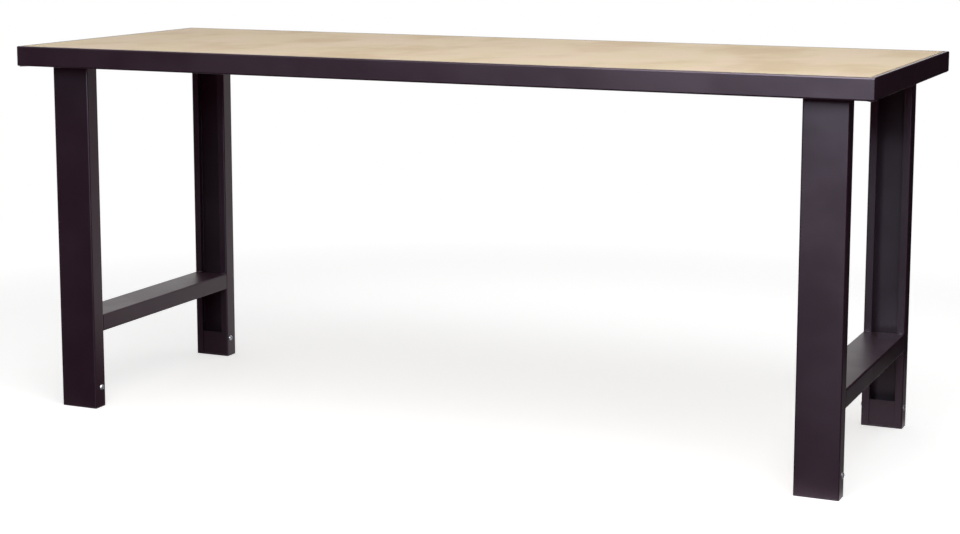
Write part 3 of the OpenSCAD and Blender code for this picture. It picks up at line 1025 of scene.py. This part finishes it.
def bead_push(tree, size):
    """How far the tube's skin moves out or in."""
    ripples = math_node(tree, "DIVIDE", stored(tree, "along"), size["Ripple Length"])
    wave = math_node(tree, "PINGPONG", ripples, 0.5)
    uneven = add(tree, "ShaderNodeTexNoise", {
        "Scale": BEAD_NOISE_SCALE, "W": size["Seed"]}, noise_dimensions="4D").outputs["Fac"]
    rough = math_node(tree, "ADD", wave, math_node(tree, "SUBTRACT", uneven, 0.5))
    swell = math_node(tree, "MULTIPLY", rough, size["Ripple Height"])
    end_run = math_node(tree, "DIVIDE", stored(tree, "from_end"), size["Bead Radius"])
    taper = remap(tree, end_run, 0.0, END_RUN, END_DRAW, 0.0)
    drawn_in = math_node(tree, "MULTIPLY", taper, size["Bead Radius"])
    return math_node(tree, "SUBTRACT", swell, drawn_in)


def make_weld_tree():
    """The tree that lays a bead along every line it is given."""
    tree, given, result = new_group("weld_beads_on_lines", "GeometryNodeTree", [
        ("Geometry", "NodeSocketGeometry", None),
        ("Bead Radius", "NodeSocketFloat", 2.2 * MM),
        ("Ripple Length", "NodeSocketFloat", 2.4 * MM),
        ("Ripple Height", "NodeSocketFloat", 0.35 * MM),
        ("Seed", "NodeSocketInt", 1),
        ("Finish", "NodeSocketMaterial", None),
    ], [("Geometry", "NodeSocketGeometry")])
    size = given.outputs
    tube = bead_tube(tree, size)
    skin = tree.nodes.new("GeometryNodeInputNormal").outputs[0]
    offset = add(tree, "ShaderNodeVectorMath", {0: skin, "Scale": bead_push(tree, size)},
                 operation="SCALE").outputs[0]
    rippled = add(tree, "GeometryNodeSetPosition", {"Geometry": tube, "Offset": offset}).outputs[0]
    real = add(tree, "GeometryNodeRealizeInstances", {"Geometry": rippled}).outputs[0]
    smooth = add(tree, "GeometryNodeSetShadeSmooth", {"Geometry": real}).outputs[0]
    finished = add(tree, "GeometryNodeSetMaterial", {"Geometry": smooth, "Material": size["Finish"]})
    plug(tree, result, {0: finished.outputs[0]})
    return tree


weld_tree = make_weld_tree()
print("tree:", weld_tree.name, "with", len(weld_tree.nodes), "nodes")

# %% [markdown]
# The lines run where two steel pieces meet in a corner: at the ends of the rails, along the mitres of
# the edge frame, at the brims of the bearers, under the head plates and in the feet.

# %% Weld lines
LIP = 18 * MM
LIP_INSET = 2 * MM
MITRE_FREE = 0.12
BRIM_IN = 25 * MM
BRIM_OUT = 45 * MM
HEAD_PLATE_HALF_RUN = 30 * MM
FOOT_HALF_RUN = 26 * MM
FOOT_PLAY = 0.3 * MM
FOOT_BASE_T = 3 * MM


def rail_weld_lines():
    """Above and below each end of a rail, across the leg's two lips."""
    lines = []
    for side, depth in LEGS.values():
        y = depth * rail_high.y
        for z in (rail_low.z, rail_high.z):
            for out in (-1, 1):
                near = side * leg_x + out * (leg_half_w - LIP + LIP_INSET)
                far = side * leg_x + out * (leg_half_w - LIP_INSET)
                lines.append(((near, y, z), (far, y, z)))
    return lines


def mitre_weld_lines():
    """Along the mitres of the edge frame, under its flange, but not on its outer corners."""
    outer = Vector((construction_box[1][0], edge_high.y, edge_low.z))
    inner = outer - Vector((1, 1, 0)) * (edge_high.y - edge_low.y)
    start = outer.lerp(inner, MITRE_FREE)
    lines = []
    for side, depth in LEGS.values():
        turn = Vector((side, depth, 1))
        lines.append((start * turn, inner * turn))
    return lines


def bearer_weld_lines():
    """Stitches between the brims of the bearers and the inner edges of the flanges."""
    lines = []
    for x in bearer_middles:
        for depth in (-1, 1):
            for out in (-1, 1):
                y = depth * edge_low.y
                lines.append(((x + out * BRIM_IN, y, bearer_z), (x + out * BRIM_OUT, y, bearer_z)))
    return lines


def level_line(x, y, z, half_run):
    """A line along X, both ways from its middle."""
    return ((x - half_run, y, z), (x + half_run, y, z))


def head_plate_weld_lines():
    """Inside each leg, between its plain face and the underside of the head plate."""
    y = leg_web_y - SHEET_T
    z = leg_high.z - HEAD_PLATE_T
    return [level_line(side * leg_x, depth * y, z, HEAD_PLATE_HALF_RUN)
            for side, depth in LEGS.values()]


def foot_weld_line(side, depth):
    """Between a foot's upright plate and its base, in the open side of the leg."""
    y = leg_mouth_y + SHEET_T + FOOT_PLAY
    return [level_line(side * leg_x, depth * y, FOOT_BASE_T, FOOT_HALF_RUN)]


print("rail weld lines:", len(rail_weld_lines()), "and mitre weld lines:", len(mitre_weld_lines()))

# %% Welds on the bench
def bead(radius, ripple_length, ripple_height, seed):
    """The sizes of a bead, under the names of the tree's inputs."""
    return {
        "Bead Radius": radius, "Ripple Length": ripple_length, "Ripple Height": ripple_height,
        "Seed": seed}


def make_welds(name, lines, body, values):
    """Painted weld beads along these lines, riding on a body."""
    points = [tuple(end) for line in lines for end in line]
    edges = [(2 * index, 2 * index + 1) for index in range(len(lines))]
    welds = run_tree(name, points, edges, weld_tree, {**values, "Finish": powder_coat})
    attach(welds, body)
    return welds


make_welds("rail_welds", rail_weld_lines(), "bench", bead(2.4 * MM, 2.6 * MM, 0.5 * MM, 2))
make_welds("edge_frame_welds", mitre_weld_lines(), "bench", bead(1.6 * MM, 2.2 * MM, 0.3 * MM, 4))
make_welds("bearer_welds", bearer_weld_lines(), "bench", bead(1.8 * MM, 2.4 * MM, 0.4 * MM, 6))
make_welds("head_plate_welds", head_plate_weld_lines(), "bench", bead(2.0 * MM, 2.4 * MM, 0.4 * MM, 8))
for leg_name, (side, depth) in LEGS.items():
    make_welds(leg_name + "_foot_weld", foot_weld_line(side, depth), leg_name + "_foot",
               bead(1.3 * MM, 2.0 * MM, 0.25 * MM, 9))

# %% [markdown]
# ## Bring the scene up to date
# Dressing must not change the size of the bench. The last line updates the view layer.

# %% Update the scene
bpy.context.view_layer.update()
